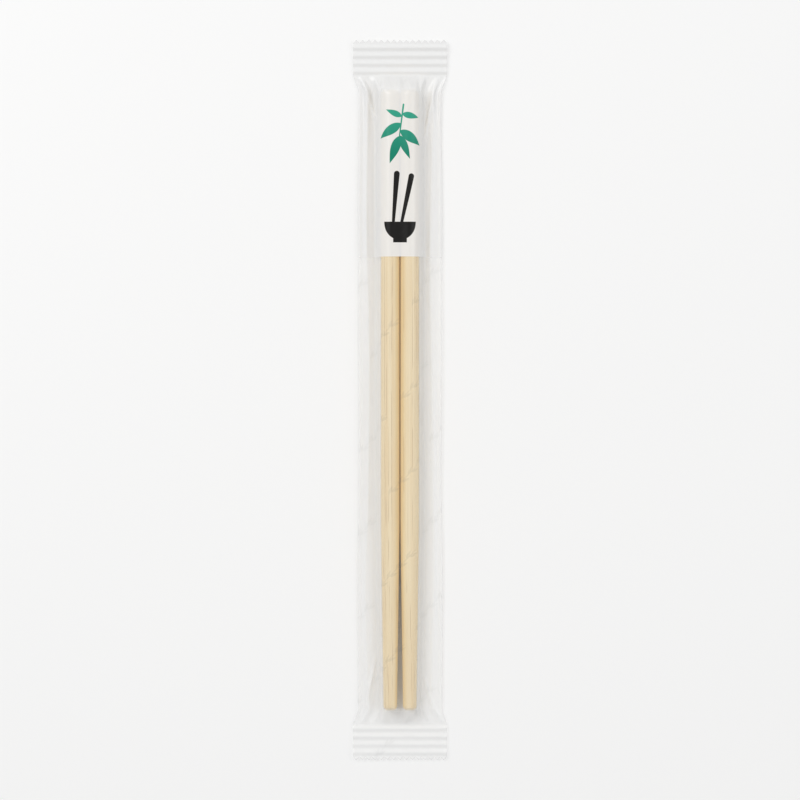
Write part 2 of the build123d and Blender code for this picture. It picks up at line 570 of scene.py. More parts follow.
@dataclass
class BambooStick:
    """One turned stick: a straight rod with a tapered tip and both ends rounded over."""

    side: Side
    seed: int
    tip_diameter: float = 4.2 * MM
    taper_length: float = 60.0 * MM
    taper_blend: float = 0.12
    head_round: float = 1.6 * MM
    tip_round: float = 1.2 * MM
    segments: int = 112
    body_rings: int = 220
    round_rings: int = 9
    disc_rings: int = 5
    disc_span: Pair = (0.15, 0.85)
    ridge_height: float = 0.008 * MM
    ridge_counts: tuple[int, ...] = (9, 16, 23, 30)
    ridge_wavelength: float = 0.13
    ridge_shift: float = 0.2
    grain_shift: float = 0.37

    @property
    def node(self) -> str:
        """Name of the solid that this stick stands for."""
        return f"{self.side.value}_stick"

    @property
    def centre(self) -> Vector:
        """Middle of the stick, on its axis."""
        low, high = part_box(self.node)
        return (low + high) / 2

    @property
    def radius(self) -> float:
        """Radius of the straight part."""
        low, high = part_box(self.node)
        return (high.x - low.x) / 2

    @property
    def half_length(self) -> float:
        """Half the stick's length."""
        low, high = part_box(self.node)
        return (high.y - low.y) / 2

    def core_radius(self, places: Array) -> Array:
        """Radius before the ends are rounded: even, then falling in a straight line to the tip."""
        taper = np.clip((places + self.half_length) / self.taper_length, 0.0, 1.0)
        return between(self.tip_diameter / 2, self.radius, soft_clamp(taper, self.taper_blend))

    def profile(self) -> tuple[Array, Array]:
        """The outline from tip to head: a disc, a quarter round, the tapered rod, a quarter round, a disc.

        Returns:
            The radii, and their places along Y.
        """
        end = self.half_length
        turn = np.linspace(0.0, math.pi / 2, self.round_rings)
        disc = np.linspace(*self.disc_span, self.disc_rings)
        body = np.linspace(self.tip_round - end, end - self.head_round, self.body_rings)
        tip_flat = self.tip_diameter / 2 - self.tip_round
        head_flat = self.radius - self.head_round
        radii = [
            disc * tip_flat,
            tip_flat + self.tip_round * np.sin(turn[:-1]),
            self.core_radius(body),
            head_flat + self.head_round * np.cos(turn[1:]),
            disc[::-1] * head_flat,
        ]
        places = [
            np.full(disc.size, -end),
            self.tip_round * (1.0 - np.cos(turn[:-1])) - end,
            body,
            end - self.head_round * (1.0 - np.sin(turn[1:])),
            np.full(disc.size, end),
        ]
        return np.concatenate(radii), np.concatenate(places)

    def relief(self, radii: Array, places: Array) -> Array:
        """Low ridges along the fibres: cosines around the stick, each times a line that wanders along it.

        Args:
            radii: Radius of each ring. The ridges fade with it towards the middle of both ends.
            places: Place of each ring along Y.

        Returns:
            The height of each point, rings by points around them.
        """
        angle = np.linspace(0.0, TURN, self.segments, endpoint=False)
        ridges = np.zeros((places.size, angle.size))
        for number, count in enumerate(self.ridge_counts):
            shifted = places[:, None] + self.ridge_shift * number
            line = drift(shifted, self.ridge_wavelength, self.seed + number)
            ridges += line * np.cos(count * angle + number)
        return self.ridge_height * ridges * np.clip(radii / self.radius, 0.0, 1.0)[:, None]

    def build(self, finish: BambooFinish, grain: Tree) -> Object:
        """Makes the stick in place of its solid.

        Args:
            finish: The bamboo's finish.
            grain: The grain that both sticks share.

        Returns:
            The stick.
        """
        radii, places = self.profile()
        shell = turned_shell(radii, places, self.centre, self.relief(radii, places))
        material = finish.material(f"bamboo_{self.side.value}", grain, self.seed * self.grain_shift)
        return make_piece(f"bamboo_{self.node}", [shell], material, self.node)


@dataclass(frozen=True)
class Stroke:
    """A printed stroke in millimetres, from its base to its tip.

    Its widths are half widths: a bar's at its base and at its tip, or a leaf's greatest one.
    """

    base: Pair
    tip: Pair
    width: float
    tip_width: float = 0.0


@dataclass(frozen=True)
class Motif:
    """Printed strokes of one form, which belong together."""

    form: Form
    strokes: tuple[Stroke, ...]


@dataclass(frozen=True)
class PrintLayout:
    """The print: a white field over the heads with a leaf sprig and a bowl, and faint twigs below it."""

    field_edge: float = 45.0 * MM
    edge_blur: float = 0.08 * MM
    leaf_power: float = 0.7
    sprig_place: Pair = (0.0, 83.4 * MM)
    sprig_shade: Pair = (-6.0 * MM, 7.0 * MM)
    leaves: Motif = Motif(Form.LEAF, (
        Stroke((0.3, 3.4), (-7.2, -1.4), 1.5),
        Stroke((0.1, 1.2), (7.2, -3.6), 1.55),
        Stroke((-0.2, -0.6), (-3.3, -9.3), 1.5),
        Stroke((0.0, -0.4), (3.2, -7.9), 1.2),
        Stroke((0.7, 6.4), (6.4, 5.2), 1.05),
        Stroke((0.6, 5.6), (-4.6, 7.8), 1.0),
    ))
    stem: Motif = Motif(Form.BAR, (Stroke((1.1, 9.3), (-0.2, -0.9), 0.32, 0.22),))
    bowl_place: Pair = (0.0, 56.0 * MM)
    bowl_half_width: float = 5.2 * MM
    bowl_depth: float = 5.8 * MM
    foot_half_width: float = 2.2 * MM
    foot_depth: float = 0.8 * MM
    bowl_sticks: Motif = Motif(Form.BAR, (
        Stroke((-2.1, -0.4), (-1.0, 15.0), 0.5, 0.95),
        Stroke((0.5, -0.4), (3.6, 14.2), 0.5, 0.95),
    ))
    twig_turn: float = math.radians(45.0)
    twig_spacing: float = 26.0 * MM
    twig_width: float = 0.1 * MM
    twig_gap: float = 6.0 * MM
    twig_pairs: int = 4
    pair_pitch: float = 4.4 * MM
    pair: Motif = Motif(Form.LEAF, (
        Stroke((0.2, 0.1), (3.1, 1.1), 0.5),
        Stroke((1.3, -0.1), (4.2, -1.1), 0.5),
    ))


@dataclass(frozen=True)
class FilmFinish:
    """Clear printed film with a soft gloss, milkier where it stands free than where it lies on a stick."""

    film: Triple = (0.92, 0.92, 0.915)
    white: Triple = (0.88, 0.88, 0.875)
    light_green: Triple = (0.03, 0.36, 0.24)
    dark_green: Triple = (0.004, 0.23, 0.145)
    black: Triple = (0.004, 0.0035, 0.003)
    grey: Triple = (0.25, 0.25, 0.25)
    white_alpha: float = 0.86
    grey_alpha: float = 0.085
    shadow_share: float = 0.3
    ripple_scale: float = 260.0
    ripple_detail: float = 2.0
    ripple_height: float = 0.12 * MM
    ripple_strength: float = 1.0
    specular: float = 0.25
    roughness: float = 0.4
    coat: float = 0.5
    inked_coat: float = 0.03
    coat_roughness: float = 0.27
    layout: PrintLayout = PrintLayout()

    def stroke_shape(self) -> Tree:
        """A printed shape about the straight line from a base to a tip, either a leaf or a bar.

        A place is inside the shape where it is nearer to the line than the shape's edge there. A bar's edge
        runs straight from its base width to its tip width. A leaf's edge is its width times sin(pi t^p),
        with the share along the line as t and the leaf power as p.

        Returns:
            A group that gives the masks of both shapes.
        """
        graph, given, wanted = new_group(
            "printed_stroke",
            {
                "Place": "Vector", "Base": "Vector", "Tip": "Vector",
                "Base Width": "Float", "Tip Width": "Float", "Blur": "Float",
            },
            {form.value: "Float" for form in Form},
        )
        line = graph.vector("SUBTRACT", given["Tip"], given["Base"])
        offset = graph.vector("SUBTRACT", given["Place"], given["Base"])
        forward = graph.measure("DOT_PRODUCT", offset, line)
        share = graph.math("DIVIDE", forward, graph.measure("DOT_PRODUCT", line, line), clamp=True)
        nearest = graph.vector("MULTIPLY_ADD", line, share, given["Base"])
        away = graph.measure("DISTANCE", given["Place"], nearest)
        turn = graph.math("MULTIPLY", graph.math("POWER", share, self.layout.leaf_power), math.pi)
        edges = {
            Form.LEAF: graph.math("MULTIPLY", graph.math("SINE", turn), given["Base Width"]),
            Form.BAR: graph.between(given["Base Width"], given["Tip Width"], share),
        }
        for form, edge in edges.items():
            inside = graph.math("SUBTRACT", edge, away)
            mask = graph.math("DIVIDE", inside, given["Blur"], clamp=True)
            graph.supply(wanted, **{form.value: mask})
        return graph.tree

    def drawn(self, graph: Graph, shape: Tree, place: Socket, motif: Motif) -> Socket:
        """The mask of a motif, which is the greatest of its strokes' masks.

        Args:
            graph: Where the nodes go.
            shape: The group that draws one stroke.
            place: The place, from the motif's middle.
            motif: The motif.

        Returns:
            The mask.
        """
        joint: Value = 0.0
        for stroke in motif.strokes:
            base, tip = [(x * MM, y * MM, 0.0) for x, y in (stroke.base, stroke.tip)]
            masks = graph.place(
                shape, Place=place, Base=base, Tip=tip, Base_Width=stroke.width * MM,
                Tip_Width=stroke.tip_width * MM, Blur=self.layout.edge_blur,
            )
            joint = graph.math("MAXIMUM", joint, masks[motif.form.value])
        return joint

    def bowl(self, graph: Graph, place: Socket) -> Socket:
        """The mask of a bowl: half an ellipse below its rim, on a short foot.

        Args:
            graph: Where the nodes go.
            place: The place, from the middle of the rim.

        Returns:
            The mask.
        """
        plan = self.layout
        across, up, _ = graph.axes(place)
        wide = graph.math("POWER", graph.math("DIVIDE", across, plan.bowl_half_width), 2.0)
        deep = graph.math("POWER", graph.math("DIVIDE", up, plan.bowl_depth), 2.0)
        body = graph.ramp(graph.math("ADD", wide, deep), 1.0, 1.0 - 2.0 * plan.edge_blur / plan.bowl_depth)
        side = plan.foot_half_width
        narrow = graph.ramp(graph.math("ABSOLUTE", across), side, side - plan.edge_blur)
        lowest = -plan.bowl_depth - plan.foot_depth
        foot = graph.math("MULTIPLY", narrow, graph.ramp(up, lowest, lowest + plan.edge_blur))
        below = graph.ramp(up, 0.0, -plan.edge_blur)
        return graph.math("MULTIPLY", graph.math("MAXIMUM", body, foot), below)

    def twigs(self, graph: Graph, shape: Tree, place: Socket) -> Socket:
        """The mask of short twigs with small leaves, one behind the other on slanting lines.

        The place is turned by the twigs' slant. Across the lines it is folded into one line's strip. Along
        them it is folded into one twig and its gap, then into one pitch, where a pair of leaves is drawn.

        Args:
            graph: Where the nodes go.
            shape: The group that draws one stroke.
            place: The place on the film.

        Returns:
            The mask.
        """
        plan = self.layout
        turned = graph.node("ShaderNodeVectorRotate", rotation_type="Z_AXIS")
        forth, aside, _ = graph.axes(graph.supply(turned, Vector=place, Angle=-plan.twig_turn)["Vector"])
        strip = plan.twig_spacing * math.cos(plan.twig_turn) / 2
        beside = graph.math("WRAP", aside, strip, -strip)
        length = plan.twig_pairs * plan.pair_pitch
        onward = graph.math("WRAP", forth, length + plan.twig_gap, 0.0)
        step = graph.math("WRAP", onward, plan.pair_pitch, 0.0)
        cell = graph.node("ShaderNodeCombineXYZ", step, beside).outputs[0]
        leaves = self.drawn(graph, shape, cell, plan.pair)
        edge = plan.twig_width + plan.edge_blur
        twig = graph.ramp(graph.math("ABSOLUTE", beside), edge, plan.twig_width)
        within = graph.math("LESS_THAN", onward, length)
        return graph.math("MULTIPLY", graph.math("MAXIMUM", leaves, twig), within)

    def masks(self, graph: Graph, web: Socket) -> tuple[Socket, Socket, Socket, Socket]:
        """The masks of the print, of which all but the white field are on the front alone.

        Args:
            graph: Where the nodes go.
            web: The place on the film's web, and the skin.

        Returns:
            Masks of the white field, the sprig, the bowl with its sticks, and the twigs on the clear film.
        """
        plan = self.layout
        shape = self.stroke_shape()
        _, along, skin = graph.axes(web)
        front = graph.math("GREATER_THAN", skin, SKIN_EDGE)
        white = graph.ramp(along, plan.field_edge, plan.field_edge + plan.edge_blur)
        flat = graph.vector("MULTIPLY", web, (1.0, 1.0, 0.0))
        at_sprig = graph.vector("SUBTRACT", flat, (*plan.sprig_place, 0.0))
        leaves, stem = [self.drawn(graph, shape, at_sprig, motif) for motif in (plan.leaves, plan.stem)]
        sprig = graph.math("MAXIMUM", leaves, stem)
        at_bowl = graph.vector("SUBTRACT", flat, (*plan.bowl_place, 0.0))
        sticks = self.drawn(graph, shape, at_bowl, plan.bowl_sticks)
        bowl = graph.math("MAXIMUM", self.bowl(graph, at_bowl), sticks)
        clear = graph.math("SUBTRACT", 1.0, white)
        twigs = graph.math("MULTIPLY", self.twigs(graph, shape, flat), clear)
        return white, *[graph.math("MULTIPLY", mask, front) for mask in (sprig, bowl, twigs)]

    def material(self) -> Material:
        """The finish: the web attribute places the print, and the milk attribute is the bare film's alpha.

        Returns:
            The material.
        """
        material, graph, shader = new_material("printed_film")
        web = graph.node("ShaderNodeAttribute", attribute_name="web").outputs["Vector"]
        milk = graph.node("ShaderNodeAttribute", attribute_name="milk").outputs["Fac"]
        _, along, skin = graph.axes(web)
        white, sprig, bowl, twigs = self.masks(graph, web)
        inks = graph.math("MAXIMUM", sprig, bowl)

        middle = self.layout.sprig_place[1]
        shade = graph.ramp(along, *[middle + way for way in self.layout.sprig_shade])
        green = graph.blend(self.dark_green, self.light_green, shade)
        veil = graph.math("MULTIPLY", twigs, self.grey_alpha)
        bare = graph.between(milk, 1.0, veil)
        colour = graph.blend(self.film, self.grey, graph.math("DIVIDE", veil, bare))
        for mask, ink in ((white, self.white), (sprig, green), (bowl, self.black)):
            colour = graph.blend(colour, ink, mask)

        printed = graph.math("MAXIMUM", graph.between(bare, self.white_alpha, white), inks)
        outside = graph.math("GREATER_THAN", graph.math("ABSOLUTE", skin), SKIN_EDGE)
        seen = graph.between(milk, printed, outside)
        path = graph.node("ShaderNodeLightPath").outputs
        passing = graph.math("MAXIMUM", path["Is Shadow Ray"], path["Is Diffuse Ray"])
        stopped = graph.between(1.0, self.shadow_share, passing)

        ripple = graph.noise(web, self.ripple_scale, self.ripple_detail)
        graph.supply(
            shader,
            Base_Color=colour,
            Roughness=self.roughness,
            Alpha=graph.math("MULTIPLY", seen, stopped),
            Normal=graph.bump(ripple, self.ripple_height, self.ripple_strength),
            Specular_IOR_Level=self.specular,
            Coat_Weight=graph.between(self.coat, self.inked_coat, inks),
            Coat_Roughness=self.coat_roughness,
        )
        return material


@dataclass(frozen=True)
class Section:
    """Sizes of the upper film drawn over the sticks, at each place along the sleeve.

    Attributes:
        radius: Radius of the film's arc over a stick.
        angle: Angle above the level at which the film leaves the stick.
        arc: Length of the arc, from the stick's crown.
        fall: Length of the straight fall from there.
        foot: Distance from the sleeve's middle to the foot of the fall.
        path: Way along the film from the middle to its edge.
    """

    radius: Array
    angle: Array
    arc: Array
    fall: Array
    foot: Array
    path: Array


@dataclass(frozen=True)
class FilmGrid:
    """Points of the upper film, in rows along the sleeve and columns across it.

    Attributes:
        share: Each column's place, from -1 at the left edge to 1 at the right edge.
        places: Places along Y.
        size: Sizes of the drawn film.
        inwards: Way from the crimps' start towards the sleeve's middle, below 0 in the crimps.
        lift: How far the sticks lift the film: 1 over them, falling in a straight line to 0 at the crimps.
        path: Way along the film from the middle.
        bridge: Share of the way from the middle to a stick's crown.
        out: Share of the way from the foot of the film's fall to its edge.
        touch: 1 where the film lies on a stick, falling to 0 down its flanks and beyond its ends.
    """

    share: Array
    places: Array
    size: Section
    inwards: Array
    lift: Array
    path: Array
    bridge: Array
    out: Array
    touch: Array


@dataclass(frozen=True)
class Crimp:
    """The seal at each end of the sleeve: a strip with ribs across it, a toothed edge and a slight curl."""

    length: float = 11.5 * MM
    rib_pitch: float = 2.5 * MM
    rib_height: float = 0.42 * MM
    rib_count: int = 4
    tooth_count: int = 15
    tooth_depth: float = 1.0 * MM
    head_curl: float = 0.9 * MM
    head_tilt: float = 0.35
    tip_curl: float = 0.5 * MM
    tip_tilt: float = -0.45

    @property
    def land(self) -> float:
        """Length of the flat strips before and after the ribs."""
        return (self.length - self.tooth_depth - self.rib_count * self.rib_pitch) / 2

    def teeth(self, share: Array) -> Array:
        """How far the edge is cut back: straight lines between the teeth's peaks and their roots."""
        turn = (share + 1.0) / 2.0 * self.tooth_count
        return self.tooth_depth * np.abs(2.0 * (turn % 1.0) - 1.0)

    def relief(self, grid: FilmGrid) -> Array:
        """Height of both films: a raised cosine for each rib, and the square of the way in for the curl.

        Args:
            grid: Points of the film.

        Returns:
            The height of each point, which is 0 between the crimps.
        """
        into = np.maximum(-grid.inwards, 0.0)
        turn = np.clip((into - self.land) / self.rib_pitch, 0.0, self.rib_count)
        ribs = self.rib_height * (0.5 - 0.5 * np.cos(TURN * turn))
        head = self.head_curl * (1.0 + self.head_tilt * grid.share)
        tip = self.tip_curl * (1.0 + self.tip_tilt * grid.share)
        return ribs + np.where(grid.places > 0.0, head, tip) * (into / self.length) ** 2


@dataclass(frozen=True)
class Milk:
    """How milky the bare film is, as its alpha: least inside and between the sticks, most at its edges."""

    inside: float = 0.02
    bridge: float = 0.04
    bridge_span: Pair = (0.7 * MM, 2.6 * MM)
    touching: float = 0.2
    free: float = 0.48
    crimp: float = 0.6
    crimp_span: Pair = (0.4 * MM, -0.4 * MM)
    edge: float = 0.75

    def upper(self, grid: FilmGrid) -> Array:
        """The upper film, in smooth steps from between the sticks to on them, the wings and the crimps.

        Args:
            grid: Points of the film.

        Returns:
            The alpha of each point.
        """
        lying = between(self.bridge, self.touching, smooth_step(*self.bridge_span, grid.path))
        body = between(self.free, lying, grid.touch)
        return between(body, self.crimp, smooth_step(*self.crimp_span, grid.inwards))


@dataclass(frozen=True)
class Wrinkles:
    """Short slanting wrinkles on the wings, each drawn at random from these spans.

    Middles are shares of half the length between the crimps. Starts and widths are shares of a wing, slants
    are such shares in a metre along it, and a side below 0 is the left one.
    """

    seed: int = 11
    count: int = 26
    middles: Pair = (-0.95, 0.95)
    reaches: Pair = (4.0 * MM, 13.0 * MM)
    starts: Pair = (0.2, 0.8)
    slants: Pair = (-50.0, 50.0)
    widths: Pair = (0.05, 0.1)
    heights: Pair = (-0.132 * MM, 0.22 * MM)
    sides: Pair = (-1.0, 1.0)

    def height(self, grid: FilmGrid) -> Array:
        """The wrinkles' heights: a narrow bell across each slanting line, times a wide bell along it.

        Args:
            grid: Points of the film.

        Returns:
            The height of each point, which is 0 at both sides of the wings.
        """
        draw = np.random.default_rng(self.seed)
        spans = (self.middles, self.reaches, self.starts, self.slants, self.widths, self.heights, self.sides)
        drawn = [draw.uniform(*span, (self.count, 1, 1)) for span in spans]
        middle, reach, start, slant, width, height, side = drawn
        ahead = grid.places - middle * grid.inwards.max()
        bells = height * bell(grid.out, start + slant * ahead, width) * bell(ahead, 0.0, reach)
        on_side = np.sign(grid.share) == np.sign(side)
        return (bells * on_side).sum(axis=0) * np.sin(math.pi * grid.out)


@dataclass(frozen=True)
class Creases:
    """The soft forms of the upper film, as heights over its drawn form."""

    swell: Wander = Wander(0.3575 * MM, 0.1925 * MM, (0.11, 0.09), (13, 14))
    swell_power: float = 1.5
    crease: float = 0.3 * MM
    crease_width: float = 0.12
    crease_line: Wander = Wander(0.5, 0.14, (0.16, 0.2), (15, 16))
    gather: float = 0.3 * MM
    gather_reach: float = 3.5 * MM
    head_waves: tuple[Triple, ...] = ((1.0, 23.0, 0.6), (0.6, 37.0, 0.0))
    tip_waves: tuple[Triple, ...] = ((1.0, 26.0, 2.0),)
    long_fold: Pair = (0.5 * MM, 24.0 * MM)
    short_fold: Pair = (0.35 * MM, 17.0 * MM)
    fold_start: float = 0.97
    fold_run: float = 0.34
    fold_power: float = 0.8
    fold_width: float = 0.035
    loop: Wander = Wander(0.255 * MM, 0.085 * MM, (0.06, 0.06), (18, 18))
    loop_place: float = 0.95
    loop_width: float = 0.09
    bridge_sag: float = 0.25 * MM
    wrinkles: Wrinkles = Wrinkles()

    def wings(self, grid: FilmGrid) -> Array:
        """The wings' swell, a power of half a sine, with one long crease, a bell about a wandering line.

        Args:
            grid: Points of the film.

        Returns:
            The height of each point.
        """
        swell = self.swell.along(grid.share, grid.places)
        line = self.crease_line.along(grid.share, grid.places)
        crease = self.crease * bell(grid.out, line, self.crease_width)
        return swell * np.sin(math.pi * grid.out) ** self.swell_power + crease

    def gathers(self, grid: FilmGrid) -> Array:
        """Cosines across the film beside its crimps, which rise and die away along it as t times e^(1 - t).

        Args:
            grid: Points of the film.

        Returns:
            The height of each point.
        """
        way = np.maximum(grid.inwards, 0.0) / self.gather_reach
        head, tip = [
            sum(height * np.cos(count * grid.share + phase) for height, count, phase in waves)
            for waves in (self.head_waves, self.tip_waves)
        ]
        fan = way * np.exp(1.0 - way) * (1.0 - grid.touch)
        return self.gather * fan * np.where(grid.places > 0.0, head, tip)

    def corner_folds(self, grid: FilmGrid) -> Array:
        """A sharper fold from each corner of the crimps in to the sticks: a bell about a bent line.

        Two opposite corners have a long fold, and the others a short one.

        Args:
            grid: Points of the film.

        Returns:
            The height of each point.
        """
        is_long = (grid.share < 0.0) ^ (grid.places > 0.0)
        height, reach = [np.where(is_long, *sizes) for sizes in zip(self.long_fold, self.short_fold)]
        way = np.clip(grid.inwards / reach, 0.0, 1.0)
        line = self.fold_start - self.fold_run * way**self.fold_power
        ridge = bell(np.abs(grid.share), line, self.fold_width)
        return height * ridge * np.sin(math.pi * way) ** self.fold_power

    def height(self, grid: FilmGrid) -> Array:
        """All the soft forms, with a loop at each edge, a bell, and a sag of (1 - t^2)^2 between the sticks.

        Args:
            grid: Points of the film.

        Returns:
            The height of each point.
        """
        loop = self.loop.along(grid.share, grid.places)
        loops = loop * bell(grid.out, self.loop_place, self.loop_width)
        sag = self.bridge_sag * (1.0 - grid.bridge**2) ** 2
        lifted = self.wings(grid) + self.wrinkles.height(grid) + loops - sag
        return lifted * grid.lift + self.gathers(grid) + self.corner_folds(grid)


@dataclass
class FilmSleeve:
    """The film sleeve: a flat tube drawn over both sticks, creased at its ends and crimped beyond them."""

    stick: BambooStick
    crimp: Crimp = Crimp()
    creases: Creases = Creases()
    milk: Milk = Milk()
    film_gauge: float = 0.09 * MM
    layer_height: float = 0.15 * MM
    layer_gap: float = 0.03 * MM
    press_blend: float = 0.1 * MM
    stand_off: float = 0.3 * MM
    foot_reach: float = 1.6 * MM
    least_wing: float = 0.1 * MM
    bend_blur: float = 0.7 * MM
    end_slack: float = 4.5 * MM
    lift_blend: float = 0.24
    touch_share: float = 0.75
    touch_fade: float = 1.6 * MM
    touch_end: Pair = (0.6 * MM, -1.4 * MM)
    wing_rise: Wander = Wander(0.315 * MM, 0.315 * MM, (0.17, 0.14), (11, 12))
    edge_wander: Wander = Wander(0.0, 0.22 * MM, (0.1, 0.1), (17, 17))
    pressed_fold: float = 0.05 * MM
    loose_fold: float = 0.32 * MM
    inset_power: int = 9
    neck_length: float = 20.0 * MM
    columns_per_tooth: int = 8
    body_rows: int = 105
    neck_rows: int = 34
    crimp_rows: int = 42
    rim_rows: int = 4

    @property
    def flat_half_width(self) -> float:
        """Half the sleeve's width where it is pressed flat."""
        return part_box(SLEEVE_NODE)[1].x

    @property
    def half_length(self) -> float:
        """Half the sleeve's length."""
        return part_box(SLEEVE_NODE)[1].y

    @property
    def crimp_start(self) -> float:
        """Where the crimps start, from the middle."""
        return self.half_length - self.crimp.length

    @property
    def back_height(self) -> float:
        """Height of the lower film's underside, which lies on the two layers of the folded seam."""
        return 2.0 * self.layer_height

    @property
    def wing_height(self) -> float:
        """Height of the upper film's top where it lies on the lower film and the seam."""
        return 4.0 * self.layer_height

    @property
    def axis(self) -> float:
        """Distance of the sticks' axes from the sleeve's middle."""
        return abs(self.stick.centre.x)

    @property
    def columns(self) -> Array:
        """Shares from -1 at the left edge to 1 at the right, with columns on each tooth's roots and peak."""
        return np.linspace(-1.0, 1.0, self.crimp.tooth_count * self.columns_per_tooth + 1)

    def places(self) -> Array:
        """Places along Y, evenly spaced in the body, the necks and the crimps, and out to the toothed edges.

        Returns:
            The places, of rows by columns.
        """
        land = self.half_length - self.crimp.tooth_depth - self.crimp.land
        approach = self.crimp_start - self.neck_length
        crimp = np.linspace(self.crimp_start, land, self.crimp_rows)
        neck = np.linspace(approach, self.crimp_start, self.neck_rows)[:-1]
        body = np.linspace(-approach, approach, self.body_rows)[1:-1]
        rows = np.concatenate([-crimp[::-1], -neck[::-1], body, neck, crimp])
        straight = np.broadcast_to(rows[:, None], (rows.size, self.columns.size))
        edge = self.half_length - self.crimp.teeth(self.columns)
        rim = between(land, edge, np.linspace(0.0, 1.0, self.rim_rows + 1)[1:, None])
        return np.concatenate([-rim[::-1], straight, rim])

    def section(self, places: Array) -> Section:
        """Works out the drawn film: it leaves each stick on the straight line that reaches its foot.

        That line touches the arc at the angle whose cosine is the radius over the foot's distance from the
        stick's axis, less the foot's own angle below the axis. Its length follows from both, as a leg of a
        right triangle. The film keeps its girth, so half of what the lift takes is drawn in from each edge.

        Args:
            places: Places along Y.

        Returns:
            The film's sizes there.
        """
        core = self.stick.core_radius(places)
        radius, reach = core + self.stand_off, core + self.foot_reach
        drop = self.stick.centre.z - self.wing_height
        distance = np.hypot(reach, drop)
        angle = np.arccos(radius / distance) - np.arctan2(drop, reach)
        arc = radius * (math.pi / 2 - angle)
        fall = np.sqrt(distance**2 - radius**2)
        foot = self.axis + reach
        path = self.flat_half_width + (self.axis + arc + fall - foot) / 2
        return Section(radius, angle, arc, fall, foot, path)

    def grid(self) -> FilmGrid:
        """Works out the points of the upper film, and where each one lies.

        Returns:
            The grid.
        """
        share, places = self.columns[None, :], self.places()
        size = self.section(places)
        inwards = self.crimp_start - np.abs(places)
        path = np.abs(share) * size.path
        wing = self.axis + size.arc + size.fall
        leave = self.axis + self.touch_share * size.arc
        flank = smooth_step(leave + self.touch_fade, leave, path)
        end = smooth_step(*self.touch_end, np.abs(places) - self.stick.half_length)
        lift = soft_clamp(inwards / self.end_slack, self.lift_blend)
        bridge = np.clip(path / self.axis, 0.0, 1.0)
        out = np.clip((path - wing) / (size.path - wing), 0.0, 1.0)
        return FilmGrid(share, places, size, inwards, lift, path, bridge, out, touch=flank * end)

    def drawn(self, grid: FilmGrid) -> tuple[Array, Array]:
        """The upper film over the sticks: a level bridge, an arc, a straight fall and a flat wing each side.

        Args:
            grid: Points of the film.

        Returns:
            Places across, and heights.
        """
        size, path = grid.size, grid.path
        around = np.clip(path - self.axis, 0.0, size.arc) / size.radius
        falling = np.clip(path - self.axis - size.arc, 0.0, size.fall)
        level = np.minimum(path, self.axis) + np.maximum(path - self.axis - size.arc - size.fall, 0.0)
        across = level + size.radius * np.sin(around) + falling * np.sin(size.angle)
        height = self.stick.centre.z + size.radius * np.cos(around) - falling * np.cos(size.angle)
        return np.sign(grid.share) * across, height

    def rise(self, grid: FilmGrid, out: Array) -> Array:
        """How far a wing stands off the table: the edge's wandering rise times the square of the way out."""
        return self.wing_rise.along(grid.share, grid.places) * out**2 * grid.lift

    def upper_sheet(self, grid: FilmGrid) -> Array:
        """The outer skin of the upper film: flat at the crimps, drawn over the sticks, softened and creased.

        Args:
            grid: Points of the film.

        Returns:
            The skin's points.
        """
        across, height = self.drawn(grid)
        flat = grid.share * self.flat_half_width
        spread = self.bend_blur * (grid.share.size - 1) / (2.0 * self.flat_half_width)
        x = soften_across(between(flat, across, grid.lift), spread)
        z = soften_across(between(self.wing_height, height, grid.lift), spread)
        lowest = self.back_height + 2.0 * self.film_gauge + self.layer_gap
        z = lowest + soft_floor(z + self.creases.height(grid) - lowest, self.press_blend)
        wander = self.edge_wander.along(grid.share, grid.places) * grid.out**2 * grid.lift
        x = x + np.sign(grid.share) * wander
        z = z + self.rise(grid, grid.out) + self.crimp.relief(grid)
        return np.stack([x, grid.places, z], axis=-1)

    def lower_sheet(self, grid: FilmGrid, upper: Array) -> Array:
        """The outer skin of the lower film, flat on the seam between the upper film's edges.

        Args:
            grid: Points of the film.
            upper: Points of the upper film's outer skin.

        Returns:
            The skin's points.
        """
        left, right = upper[:, :1, 0], upper[:, -1:, 0]
        half = (right - left) / 2
        x = (right + left) / 2 + grid.share * half
        foot = grid.size.foot
        out = np.clip((np.abs(x) - foot) / np.maximum(half - foot, self.least_wing), 0.0, 1.0)
        z = self.back_height + self.rise(grid, out) + self.crimp.relief(grid)
        return np.stack([x, grid.places, z], axis=-1)

    def inner_sheets(self, upper: Array, lower: Array) -> tuple[Array, Array]:
        """The inner skins: the outer ones moved in by the gauge, along their normals and at the folds.

        Args:
            upper: Points of the upper film's outer skin.
            lower: Points of the lower film's outer skin.

        Returns:
            Points of the upper and the lower inner skin.
        """
        inset = self.film_gauge * self.columns**self.inset_power

        def moved(sheet: Array, distance: float) -> Array:
            """Moves a sheet along its normals, which are the cross products of its steps both ways.

            Args:
                sheet: Points of an outer skin.
                distance: How far they move.

            Returns:
                Points of the inner skin.
            """
            normal = np.cross(np.gradient(sheet, axis=1), np.gradient(sheet, axis=0))
            inner = sheet + distance * normal / np.linalg.norm(normal, axis=-1, keepdims=True)
            inner[..., 0] -= inset
            return inner

        return moved(upper, -self.film_gauge), moved(lower, self.film_gauge)

    def hollow_rows(self, grid: FilmGrid) -> Index:
        """Picks the rows of the hollow: all along the necks before the crimps, and every second one between.

        Args:
            grid: Points of the film.

        Returns:
            The rows' numbers.
        """
        inwards = grid.inwards[:, 0]
        rows = np.flatnonzero(inwards >= -self.layer_gap)
        on_neck = inwards[rows] < self.neck_length
        return rows[on_neck | (np.arange(rows.size) % 2 == 0)]

